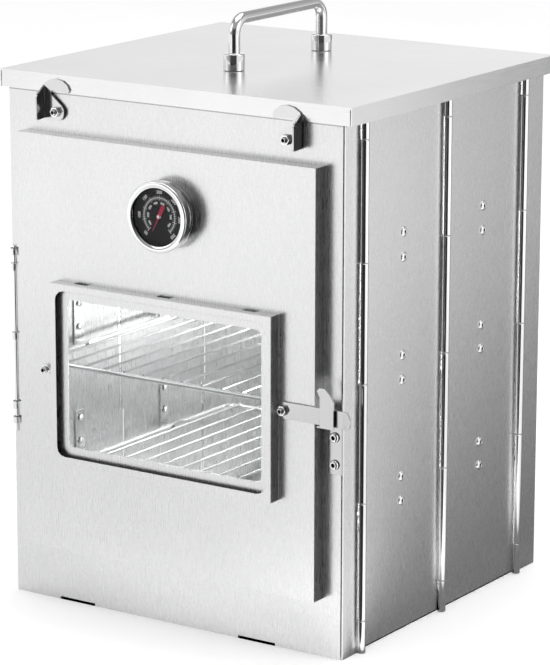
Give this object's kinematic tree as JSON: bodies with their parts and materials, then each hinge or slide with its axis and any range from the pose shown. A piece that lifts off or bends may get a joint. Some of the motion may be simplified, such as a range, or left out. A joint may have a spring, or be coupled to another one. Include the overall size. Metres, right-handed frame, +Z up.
{
  "type": "folding camp oven",
  "caption": "Folding sheet-steel camp oven: hinged door with window, dial thermometer and swing latch, wire racks on wall hooks, floor tray, lift-off lid with bar handle, swing clamps.",
  "frame": {"origin": "on the ground, at the middle of the underside of the front panel's bottom flange", "axes": "+X to the right as seen from the door, +Y from the door to the back, +Z up"},
  "size_m": [0.324, 0.3165, 0.4523],
  "materials": {
    "brushed_steel": "brushed",
    "polished_steel": "polished",
    "wire_steel": "bright",
    "clear_glass": "clear",
    "dial_black": "satin",
    "needle_red": "satin"
  },
  "bodies": {
    "front_frame": {"front_panel": "brushed_steel", "left_front_pin": "polished_steel", "right_front_pin": "polished_steel", "door_hinge_pin": "polished_steel", "keeper": "brushed_steel", "keeper_rivet_1": "polished_steel", "keeper_rivet_2": "polished_steel", "left_clamp_stud": "polished_steel", "right_clamp_stud": "polished_steel", "left_clamp_nut": "polished_steel", "right_clamp_nut": "polished_steel"},
    "left_front_wall": {"left_front_leaf": "brushed_steel", "left_middle_pin": "polished_steel", "left_front_bracket_1": "brushed_steel", "left_front_bracket_2": "brushed_steel", "left_front_bracket_3": "brushed_steel"},
    "left_rear_wall": {"left_rear_leaf": "brushed_steel", "left_rear_pin": "polished_steel", "left_rear_bracket_1": "brushed_steel", "left_rear_bracket_2": "brushed_steel", "left_rear_bracket_3": "brushed_steel"},
    "rear_wall": {"rear_panel": "brushed_steel"},
    "right_front_wall": {"right_front_leaf": "brushed_steel", "right_middle_pin": "polished_steel", "right_front_bracket_1": "brushed_steel", "right_front_bracket_2": "brushed_steel", "right_front_bracket_3": "brushed_steel"},
    "right_rear_wall": {"right_rear_leaf": "brushed_steel", "right_rear_pin": "polished_steel", "right_rear_bracket_1": "brushed_steel", "right_rear_bracket_2": "brushed_steel", "right_rear_bracket_3": "brushed_steel"},
    "door": {"door_panel": "brushed_steel", "window_frame": "brushed_steel", "window_retainer": "brushed_steel", "window_glass": "clear_glass", "thermometer_case": "polished_steel", "thermometer_bezel": "polished_steel", "thermometer_dial": "dial_black", "thermometer_lens": "clear_glass", "thermometer_stem": "polished_steel", "thermometer_nut": "polished_steel", "left_door_stud": "polished_steel", "right_door_stud": "polished_steel", "left_door_nut": "polished_steel", "right_door_nut": "polished_steel"},
    "needle": {"thermometer_needle": "needle_red"},
    "latch": {"latch_lever": "brushed_steel"},
    "left_clamp": {"left_clamp": "brushed_steel"},
    "right_clamp": {"right_clamp": "brushed_steel"},
    "lid": {"lid": "brushed_steel", "lid_handle": "polished_steel", "front_handle_ferrule": "polished_steel", "rear_handle_ferrule": "polished_steel", "front_handle_screw": "polished_steel", "rear_handle_screw": "polished_steel"},
    "tray": {"floor_tray": "brushed_steel"},
    "lower_rack": {"lower_rack": "wire_steel"},
    "upper_rack": {"upper_rack": "wire_steel"}
  },
  "joints": [
    {"name": "left_front_fold", "type": "hinge", "parent": "front_frame", "child": "left_front_wall", "pos_m": [-0.1522, 0.0165, 0.2], "axis": [0, 0, -1], "range_deg": [0, 4]},
    {"name": "left_middle_fold", "type": "hinge", "parent": "left_front_wall", "child": "left_rear_wall", "pos_m": [-0.1522, 0.131, 0.2], "axis": [0, 0, 1], "range_deg": [0, 8]},
    {"name": "left_rear_fold", "type": "hinge", "parent": "left_rear_wall", "child": "rear_wall", "pos_m": [-0.1522, 0.2455, 0.2], "axis": [0, 0, -1], "range_deg": [0, 4]},
    {"name": "right_front_fold", "type": "hinge", "parent": "front_frame", "child": "right_front_wall", "pos_m": [0.1522, 0.0165, 0.2], "axis": [0, 0, 1], "range_deg": [0, 4]},
    {"name": "right_middle_fold", "type": "hinge", "parent": "right_front_wall", "child": "right_rear_wall", "pos_m": [0.1522, 0.131, 0.2], "axis": [0, 0, -1], "range_deg": [0, 8]},
    {"name": "door_hinge", "type": "hinge", "parent": "front_frame", "child": "door", "pos_m": [-0.1416, -0.0136, 0.206], "axis": [0, 0, -1], "range_deg": [0, 110]},
    {"name": "latch_pivot", "type": "hinge", "parent": "door", "child": "latch", "pos_m": [0.1073, -0.0207, 0.186], "axis": [0, -1, 0], "range_deg": [0, 45]},
    {"name": "needle_axis", "type": "hinge", "parent": "door", "child": "needle", "pos_m": [0.0048, -0.0282, 0.318], "axis": [0, 1, 0], "range_deg": [0, 275]},
    {"name": "left_clamp_pivot", "type": "hinge", "parent": "front_frame", "child": "left_clamp", "pos_m": [-0.1028, -0.0098, 0.3818], "axis": [0, -1, 0], "range_deg": [0, 100]},
    {"name": "right_clamp_pivot", "type": "hinge", "parent": "front_frame", "child": "right_clamp", "pos_m": [0.1028, -0.0098, 0.3818], "axis": [0, 1, 0], "range_deg": [0, 100]},
    {"name": "lid_lift", "type": "slide", "parent": "front_frame", "child": "lid", "axis": [0, 0, 1], "range_m": [0, 0.12]},
    {"name": "tray_lift", "type": "slide", "parent": "front_frame", "child": "tray", "axis": [0, 0, 1], "range_m": [0, 0.06]},
    {"name": "lower_rack_lift", "type": "slide", "parent": "front_frame", "child": "lower_rack", "axis": [0, 0, 1], "range_m": [0, 0.08]},
    {"name": "upper_rack_lift", "type": "slide", "parent": "front_frame", "child": "upper_rack", "axis": [0, 0, 1], "range_m": [0, 0.08]}
  ],
  "couplings": [
    {"joint": "left_middle_fold", "follows": "left_front_fold", "ratio": 2},
    {"joint": "left_rear_fold", "follows": "left_front_fold", "ratio": 1},
    {"joint": "right_front_fold", "follows": "left_front_fold", "ratio": 1},
    {"joint": "right_middle_fold", "follows": "left_front_fold", "ratio": 2}
  ]
}
